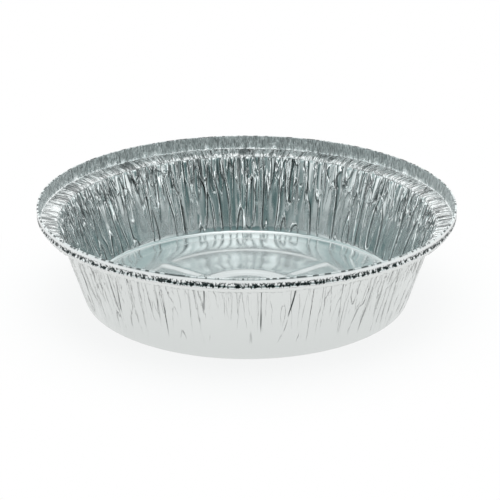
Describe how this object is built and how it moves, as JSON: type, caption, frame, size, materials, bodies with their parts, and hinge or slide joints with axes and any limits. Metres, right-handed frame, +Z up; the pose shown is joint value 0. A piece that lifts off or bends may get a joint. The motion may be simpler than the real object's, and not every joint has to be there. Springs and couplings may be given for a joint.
{
  "type": "foil pie tin",
  "caption": "Round foil pie tin with an embossed floor, pleated sloping wall, ledge for a board lid and a folded rim.",
  "frame": {"origin": "on the table, under the middle of the floor", "axes": "+Z up through the mouth, Y along the axis of the embossed pattern"},
  "size_m": [0.23, 0.23, 0.0552],
  "materials": {
    "foil": "bright rolled"
  },
  "bodies": {
    "root": {"pie_tin": "foil"}
  },
  "joints": []
}
